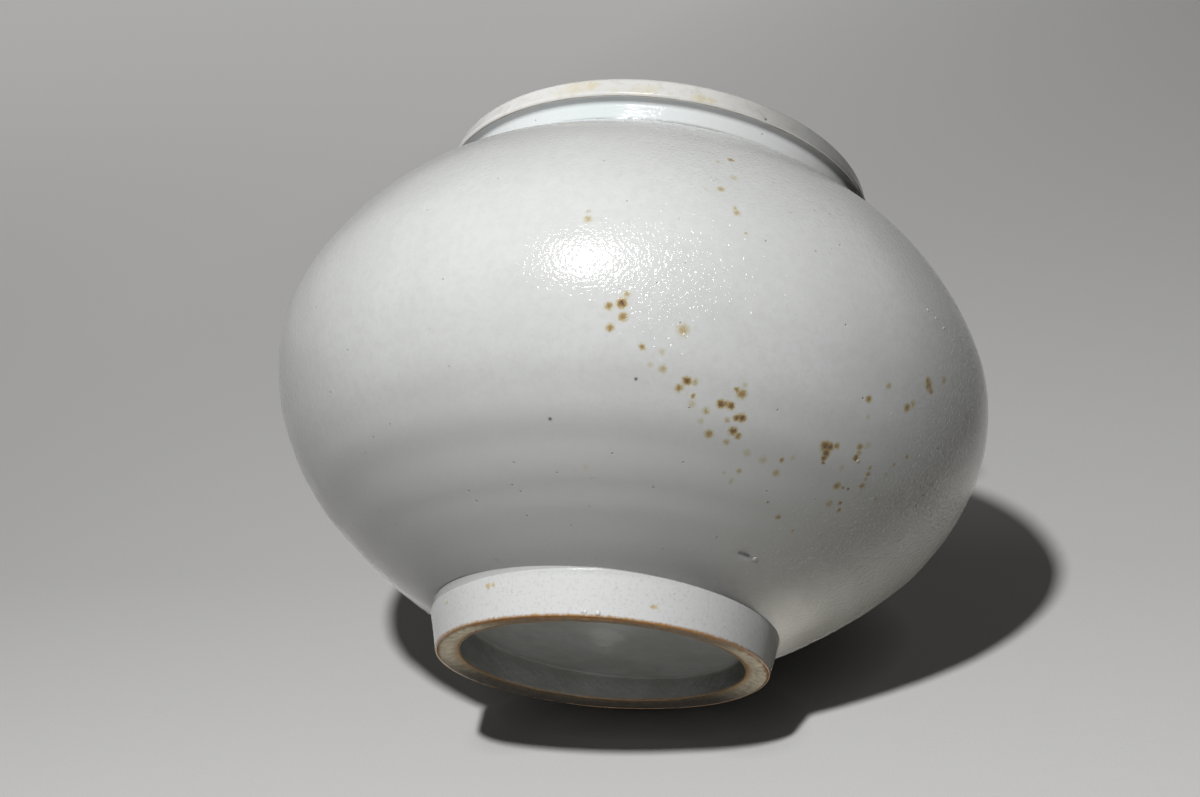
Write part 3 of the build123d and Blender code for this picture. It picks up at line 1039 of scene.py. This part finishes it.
pits = use(tree, pit_group, Place=place, Share=pit_share)
colour = blend(tree, times(tree, pits, pit_strength), colour, pit_brown)
stain = times(tree, use(tree, stain_group, Place=place), lip)
colour = blend(tree, stain, colour, stain_straw, "MULTIPLY")
iron_patches = fade(tree, noise(tree, place, iron_grain, 2.0), 0.35, 0.6, low=1.0, high=0.85)
iron = times(tree, use(tree, iron_group, Place=place), iron_patches)
iron_ramp = add(tree, "ShaderNodeValToRGB", {0: iron})
ramp = iron_ramp.color_ramp.elements
for strength, tint in iron_tints[1:-1]:
    ramp.new(strength)
for element, (strength, tint) in zip(ramp, iron_tints):
    element.position = strength
    element.color = tint
colour = blend(tree, 1.0, colour, iron_ramp.outputs[0], "MULTIPLY")
black = maths(tree, "POWER", use(tree, black_group, Place=place), pinhole_sharpness)
colour = blend(tree, black, colour, pinhole_black, "MULTIPLY")
colour = blend(tree, use(tree, rust_group, Place=place), colour, rust_orange, "MULTIPLY")
burnt = use(tree, burn_group, Place=place, Low=0.0001, High=0.0017)
colour = blend(tree, burnt, colour, burnt_brown)
tree.links.new(colour, shader.inputs["Base Color"])
print("iron tints:", len(iron_tints), "steps")

# %% [markdown]
# ## Gloss of the glaze
# Thick glaze settles with a skin like orange peel, which breaks a highlight into grains. Under a clear
# coat the body colour stays soft, so the peel is put on the coat's own normal: a fine ripple, and small
# domes from a Voronoi pattern, some higher than others by luck. It is calmer on the left, at the foot and
# at the neck.

# %% Gloss of the glaze
peel_height, pit_depth = 0.00075, 0.0002
ripple_scale, grain_scale, dome_weight, dome_edge = 620.0, 560.0, 0.5, 0.6
peel_x, peel_foot_z, peel_neck_z = (-0.03, 0.02), (0.02, 0.04), (0.205, 0.235)
lip_dullness, polish_scale = 0.35, 40.0

ripple = noise(tree, place, ripple_scale, 1.0, 0.4)
grains = add(tree, "ShaderNodeTexVoronoi", {"Vector": place, "Scale": grain_scale})
luck = add(tree, "ShaderNodeSeparateColor", {0: grains.outputs["Color"]}).outputs[0]
dome = times(tree, fade(tree, grains.outputs["Distance"], dome_edge, 0.0), maths(tree, "POWER", luck, 2.0))
peel = times(
    tree,
    maths(tree, "MULTIPLY_ADD", dome, dome_weight, ripple),
    fade(tree, across, *peel_x, low=0.3),
    fade(tree, rise, *peel_foot_z, low=0.4),
    fade(tree, rise, *peel_neck_z, low=1.0, high=0.4),
)
raise_surface(tree, shader.inputs["Coat Normal"], peel, peel_height)
shader.inputs["Coat Roughness"].default_value = 0.05
shader.inputs["Coat IOR"].default_value = 1.44
dull = maths(tree, "MAXIMUM", pits, times(tree, lip, lip_dullness))
tree.links.new(maths(tree, "SUBTRACT", 1.0, dull), shader.inputs["Coat Weight"])
shader.inputs["Specular IOR Level"].default_value = 0.2
polish = fade(tree, noise(tree, place, polish_scale, 2.0), 0.3, 0.7, low=0.38, high=0.5)
tree.links.new(polish, shader.inputs["Roughness"])
raise_surface(tree, shader.inputs["Normal"], times(tree, pits, -1.0), pit_depth)
glaze_outside.data.materials.append(glaze)
glaze_blisters.data.materials.append(glaze)
print(glaze.name, "has", len(tree.nodes), "nodes")

# %% [markdown]
# ## Glaze of the inside
# Inside, the same glaze was poured and swilled round. The photograph doesn't show it, so it has no iron
# spots and a plainer gloss: a smaller tree with the same clouds and pinholes. At the lip it takes the
# lip's cream.

# %% Glaze of the inside
inside_pale, inside_grey = (0.70, 0.71, 0.70, 1), (0.65, 0.66, 0.645, 1)
inside_lip, ripple_depth = (0.72, 0.715, 0.69, 1), 0.0003

inner_glaze, tree, shader, place = new_material("inside_glaze")
cloud = clouds(tree, place, cloud_scale, 3.0, 0.55)
colour = blend(tree, cloud, inside_pale, inside_grey)
colour = blend(tree, times(tree, kept_mask(tree, "lip"), 0.85), colour, inside_lip)
pits = use(tree, pit_group, Place=place, Share=pit_share)
colour = blend(tree, times(tree, pits, pit_strength), colour, pit_brown)
tree.links.new(colour, shader.inputs["Base Color"])
tree.links.new(fade(tree, cloud, 0, 1, low=0.12, high=0.2), shader.inputs["Roughness"])
raise_surface(tree, shader.inputs["Normal"], noise(tree, place, 240.0, 2.0), ripple_depth)
glaze_inside.data.materials.append(inner_glaze)
print(inner_glaze.name, "has", len(tree.nodes), "nodes")

# %% [markdown]
# ## Glaze of the well
# The well has a thin grey glaze, made darker than its own grey as painted shade for the hollow. Painted
# light makes it paler towards its middle, and there is a brown breath there, painted shade in its corner and
# a burnt hem. It was barely polished by the fire, so it is half matt.

# %% Glaze of the well
well_pale_shaded, well_grey_shaded, well_lit_pale = (0.245, 0.246, 0.234, 1), (0.195, 0.196, 0.183, 1), (0.44, 0.44, 0.42, 1)
breath_brown, well_pit_brown = (0.17, 0.11, 0.06, 1), (0.16, 0.14, 0.11, 1)
well_burnt, corner_shade_grey, turning_depth = (0.22, 0.135, 0.06, 1), (0.76, 0.76, 0.74, 1), 0.0005

well, tree, shader, place = new_material("thin_grey_glaze")
cloud = clouds(tree, place, 45.0, 4.0, 0.6)
# the well's own thin grey glaze, made darker still as painted shade for the hollow
colour = blend(tree, cloud, well_pale_shaded, well_grey_shaded)
# painted light: paler patches round the cone in the middle of the well
colour = blend(tree, times(tree, use(tree, well_lit_group, Place=place), 0.75), colour, well_lit_pale)
colour = blend(tree, times(tree, use(tree, arc_group, Place=place), 0.6), colour, breath_brown)
pits = use(tree, pit_group, Place=place, Share=0.1)
colour = blend(tree, times(tree, pits, 0.6), colour, well_pit_brown)
burnt = use(tree, burn_group, Place=place, Low=0.0012, High=0.0024)
colour = blend(tree, burnt, colour, well_burnt)
# painted shade in the corner between the well's wall and its ceiling
colour = blend(tree, kept_mask(tree, "corner"), colour, corner_shade_grey, "MULTIPLY")
tree.links.new(colour, shader.inputs["Base Color"])
shader.inputs["Specular IOR Level"].default_value = 0.25
tree.links.new(fade(tree, cloud, 0, 1, low=0.42, high=0.56), shader.inputs["Roughness"])
raise_surface(tree, shader.inputs["Normal"], noise(tree, place, 300.0, 3.0, 0.6), turning_depth)
foot_well.data.materials.append(well)
print(well.name, "has", len(tree.nodes), "nodes")

# %% [markdown]
# ## The bare foot
# The contact ring is bare clay: buff and gritty, orange where it met the glaze on either side, and a darker
# brown towards the front. At the back a painted shadow makes it nearly black and dims the orange, where the
# ring rests in the floor's shadow. The orange follows the distance from the foot's axis, and noise makes its
# edge ragged.

# %% Bare clay of the foot
clay_buff, clay_brown, speck_brown = (0.80, 0.71, 0.54, 1), (0.50, 0.42, 0.29, 1), (0.20, 0.15, 0.10, 1)
front_dark_brown, back_shadow_black = (0.15, 0.105, 0.06, 1), (0.025, 0.02, 0.015, 1)
inner_orange, outer_orange, clay_grain = (0.44, 0.25, 0.09, 1), (0.36, 0.17, 0.05, 1), 0.0008
front_dark_y, back_shadow_y = (-0.04, -0.068), (-0.005, 0.045)
inner_burn_r, outer_burn_r, burn_wander = (0.0752, 0.0722), (0.0800, 0.0815), 0.003

bare_clay, tree, shader, place = new_material("bare_foot_clay")
cloud = clouds(tree, place, 210.0, 5.0, 0.7)
colour = blend(tree, cloud, clay_buff, clay_brown)
specks = use(tree, pit_group, Place=place, Share=0.5)
colour = blend(tree, times(tree, specks, 0.7), colour, speck_brown)
middle = vectors(tree, "SUBTRACT", {0: place, 1: tuple(foot_place * MM)})
flat = vectors(tree, "MULTIPLY", {0: middle, 1: (1, 1, 0)})
from_axis = vectors(tree, "LENGTH", {0: flat}, "Value")
ragged = maths(tree, "MULTIPLY_ADD", noise(tree, place, 130.0, 3.0), burn_wander, from_axis)
backwards = add(tree, "ShaderNodeSeparateXYZ", {0: place}).outputs["Y"]
# darker brown towards the front of the ring
colour = blend(tree, fade(tree, backwards, *front_dark_y, high=0.9), colour, front_dark_brown)
# painted shadow: the ring turns nearly black towards the back
colour = blend(tree, fade(tree, backwards, *back_shadow_y, high=0.96), colour, back_shadow_black)
inner_burn = fade(tree, ragged, *inner_burn_r)
# the painted shadow also dims the orange towards the back
inner_burn = times(tree, inner_burn, fade(tree, backwards, *back_shadow_y, low=0.75, high=0.1))
colour = blend(tree, inner_burn, colour, inner_orange)
outer_burn = fade(tree, ragged, *outer_burn_r)
outer_burn = times(tree, outer_burn, fade(tree, backwards, *back_shadow_y, low=0.9, high=0.2))
colour = blend(tree, outer_burn, colour, outer_orange)
tree.links.new(colour, shader.inputs["Base Color"])
tree.links.new(fade(tree, cloud, 0, 1, low=0.7, high=0.9), shader.inputs["Roughness"])
raise_surface(tree, shader.inputs["Normal"], noise(tree, place, 1100.0, 4.0, 0.7), clay_grain)
foot_bare.data.materials.append(bare_clay)
print(bare_clay.name, "has", len(tree.nodes), "nodes")

# %% [markdown]
# ## The hidden clay
# The bowls, the rim and the slip in the joints are inside the glaze. They stay as CAD solids, with a
# fired clay that would show if the jar were cut.

# %% Hidden clay
fired_pale, fired_grey = (0.64, 0.61, 0.55, 1), (0.56, 0.53, 0.47, 1)
body_clay, tree, shader, place = new_material("fired_body_clay")
cloud = clouds(tree, place, 120.0, 4.0, 0.6)
tree.links.new(blend(tree, cloud, fired_pale, fired_grey), shader.inputs["Base Color"])
tree.links.new(fade(tree, cloud, 0, 1, low=0.75, high=0.9), shader.inputs["Roughness"])
for name in ("lower_bowl", "seam_slip", "upper_bowl", "neck_slip", "mouth_rim", "foot_slip"):
    clay_mesh = nodes[name].data
    clay_mesh.materials.clear()
    clay_mesh.materials.append(body_clay)
print("hidden clay solids keep their CAD shape")

# %% [markdown]
# ## The stage
# In the photograph the jar leans on a grey floor that touches the back of its foot and its belly. In the
# jar's own frame that floor is a slope, seen from its front only. It lets lamps through, so that the
# jar's back isn't dark from other sides. A level floor under the foot is seen from above only, so the jar
# stands on it in other views. Both are matt, with a soft shade close to the jar. What they glow with is
# for the eye alone: it shows to camera rays and in reflections, and lights nothing.

# %% Floor helpers
floor_size, contact_reach = 40.0, 0.035
sky_seen = (0.26, 0.258, 0.252)


def for_the_eye(tree):
    """1 for rays that show a surface to the camera, in gloss or through glass, and 0 for rays of light."""
    path = add(tree, "ShaderNodeLightPath")
    seen = maths(tree, "MAXIMUM", path.outputs["Is Camera Ray"], path.outputs["Is Glossy Ray"])
    return maths(tree, "MAXIMUM", seen, path.outputs["Is Transmission Ray"])


def floor_finish(name, tint):
    """A matt finish, seen from the front only, with its nodes and a mask that darkens near the jar."""
    material, tree, shader, place = new_material(name)
    shader.inputs["Roughness"].default_value = 0.9
    shader.inputs["Specular IOR Level"].default_value = 0.1
    grain = fade(tree, noise(tree, place, 900.0, 2.0), 0.2, 0.8, low=0.97, high=1.03)
    contact = add(tree, "ShaderNodeAmbientOcclusion", {"Distance": contact_reach}, samples=8)
    clear_of_jar = contact.outputs["AO"]
    shaded = vectors(tree, "SCALE", {0: tint, "Scale": times(tree, grain, clear_of_jar)})
    tree.links.new(shaded, shader.inputs["Base Color"])
    behind = add(tree, "ShaderNodeNewGeometry").outputs["Backfacing"]
    nothing = add(tree, "ShaderNodeBsdfTransparent").outputs[0]
    either = add(tree, "ShaderNodeMixShader", {0: behind, 1: shader.outputs[0], 2: nothing}).outputs[0]
    tree.links.new(either, tree.nodes["Material Output"].inputs["Surface"])
    return material, tree, shader, place, clear_of_jar


def floor_piece(name, middle, up, material):
    """A big square of floor, which throws no shadow and no light."""
    half = floor_size / 2
    corners = [(-half, -half, 0), (half, -half, 0), (half, half, 0), (-half, half, 0)]
    mesh = bpy.data.meshes.new(name)
    mesh.from_pydata(corners, [], [(0, 1, 2, 3)])
    mesh.materials.append(material)
    piece = put(name, mesh)
    piece.matrix_world = Matrix.Translation(middle) @ up.to_track_quat("Z", "Y").to_matrix().to_4x4()
    piece.visible_shadow = False
    piece.visible_diffuse = False
    return piece


# %% [markdown]
# ## The photograph's floor
# It brightens with distance, more on the left, as a paper sweep does that curves up towards the light. A
# small even lift keeps its shadows from going black.

# %% Photo floor
slope_up = Vector((-0.225, -0.6275, 0.7454)).normalized()
slope_level = -50.7 * MM
glow_from, glow_over, glow_most = 0.25, 1.16, 0.36
glow_side, glow_middle, shadow_lift = -0.40, 0.68, 0.021

sweep, tree, shader, place, clear_of_jar = floor_finish("grey_sweep", (0.675, 0.671, 0.662))
spread = add(tree, "ShaderNodeSeparateXYZ", {0: place})
beyond = maths(tree, "MAXIMUM", maths(tree, "SUBTRACT", spread.outputs["Y"], glow_from), 0.0)
away = maths(tree, "SUBTRACT", 1.0, maths(tree, "EXPONENT", maths(tree, "DIVIDE", beyond, -glow_over)))
side = maths(tree, "MULTIPLY_ADD", spread.outputs["X"], glow_side, glow_middle, clamp=True)
glowing = times(tree, away, times(tree, side, glow_most))
lifted = maths(tree, "ADD", glowing, times(tree, clear_of_jar, shadow_lift))
shader.inputs["Emission Color"].default_value = (1.0, 0.994, 0.98, 1)
tree.links.new(times(tree, lifted, for_the_eye(tree)), shader.inputs["Emission Strength"])
slope = floor_piece("photo_floor", slope_up * slope_level, slope_up, sweep)
print("the photograph's floor leans by", round(degrees(slope_up.angle(Vector((0, 0, 1)))), 1), "degrees")

# %% [markdown]
# ## The level floor
# Far from the jar it melts into the grey of the sky, so that no horizon shows. Gloss and glass don't see
# it, because in the photograph's view it isn't there.

# %% Level floor
melt_from, melt_to, melt_most = 0.5, 2.4, 0.93

pale, tree, shader, place, clear_of_jar = floor_finish("pale_floor", (0.62, 0.617, 0.61))
from_jar = vectors(tree, "LENGTH", {0: place}, "Value")
melted = times(tree, fade(tree, from_jar, melt_from, melt_to, high=melt_most), for_the_eye(tree))
shader.inputs["Emission Color"].default_value = (*sky_seen, 1)
tree.links.new(melted, shader.inputs["Emission Strength"])
level = floor_piece("level_floor", Vector((0, 0, 0)), Vector((0, 0, 1)), pale)
level.visible_glossy = False
level.visible_transmission = False
print("floors:", slope.name, level.name)

# %% [markdown]
# ## Lights
# One small lamp, the key, gives the sharp shadow: its place was found from the shadow and the highlight.
# A wider lamp beside it, the shine, is seen only in the gloss. The slope throws no light itself, so a
# warm lamp under it stands for the light that a floor throws up. A lamp behind the jar lights its back,
# one below lights the underside of the foot, and one overhead lights the level floor and the inside.
# Light linking gives each of these only the pieces that it is for, and it keeps the key, which stands low
# over the level floor, off it.

# %% Lights
def only_for(light, pieces):
    """Let a lamp light these pieces and nothing else."""
    lit = bpy.data.collections.new("lit_by_" + light.name)
    for piece in pieces:
        lit.objects.link(piece)
    light.light_linking.receiver_collection = lit


def lamp(name, place, aim, watts, size):
    """A round area lamp at a place, turned to a point."""
    data = bpy.data.lights.new(name, "AREA")
    data.shape = "DISK"
    data.size = size
    data.energy = watts
    made = put(name, data)
    made.location = place
    made.rotation_euler = (aim - place).to_track_quat("-Z", "Y").to_euler()
    return made


jar_middle, foot_middle = Vector((0, 0, 0.12)), Vector((0, 0, 0))
bounce_place = jar_middle + 1.3 * Vector((0.33, 0.74, -0.585))
key = lamp("key", Vector((-0.548, -1.585, 0.400)), jar_middle, watts=27.5, size=0.10)
back_fill = lamp("back_fill", Vector((0.03, 1.3, 0.35)), jar_middle, watts=14.0, size=0.8)
floor_bounce = lamp("floor_bounce", bounce_place, jar_middle, watts=7.4, size=0.7)
shine = lamp("shine", Vector((-0.515, -1.590, 0.470)), jar_middle, watts=15.0, size=0.58)
floor_soft = lamp("floor_soft", Vector((0, 0, 1.8)), foot_middle, watts=24.0, size=1.6)
foot_glow = lamp("foot_glow", Vector((0.1, -0.7, -0.85)), foot_middle, watts=5.6, size=0.6)
key.visible_glossy = False
floor_bounce.data.color = (1.0, 0.95, 0.83)
shine.data.shape = "ELLIPSE"
shine.data.size_y = 0.72
shine.visible_diffuse = False

only_for(foot_glow, (foot_well, foot_bare))
only_for(floor_bounce, (glaze_outside, glaze_inside, glaze_blisters))
only_for(back_fill, (glaze_outside, glaze_inside, glaze_blisters, foot_well, foot_bare))
only_for(floor_soft, (level, glaze_inside))
not_lit = bpy.data.collections.new("not_lit_by_key")
not_lit.objects.link(level)
not_lit.collection_objects[0].light_linking.link_state = "EXCLUDE"
key.light_linking.receiver_collection = not_lit

# %% [markdown]
# ## The sky
# A dim, even sky fills the shadows, and the eye sees a lighter grey. The jar's outside is left out of
# diffuse bounces, because the floors round it are only stand-ins. Its inside still lights itself.

# %% Sky
sky_light = (0.026, 0.025, 0.0225)
world = bpy.data.worlds.new("studio")
scene.world = world
world.use_nodes = True
tree = world.node_tree
sky_tint = blend(tree, for_the_eye(tree), (*sky_light, 1), (*sky_seen, 1))
tree.links.new(sky_tint, tree.nodes["Background"].inputs["Color"])
for piece in (glaze_outside, glaze_blisters, foot_well, foot_bare):
    piece.visible_diffuse = False
print("sky:", sky_light, "as light,", sky_seen, "to the eye")

# %% [markdown]
# ## Riding on the frame
# Every new piece rides on the jar's only body, and each skin stands for the CAD solid that it dresses.

# %% Ride and replace
for piece, node, slot in (
    (glaze_outside, "outer_glaze", "glaze"),
    (glaze_inside, "inner_glaze", "glaze"),
    (foot_bare, "foot_ring", "bare_foot"),
    (foot_well, "well_glaze", "well_glaze"),
):
    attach(piece, "root")
    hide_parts(node)
    print(piece.name, "replaces", node)
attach(glaze_blisters, "root")
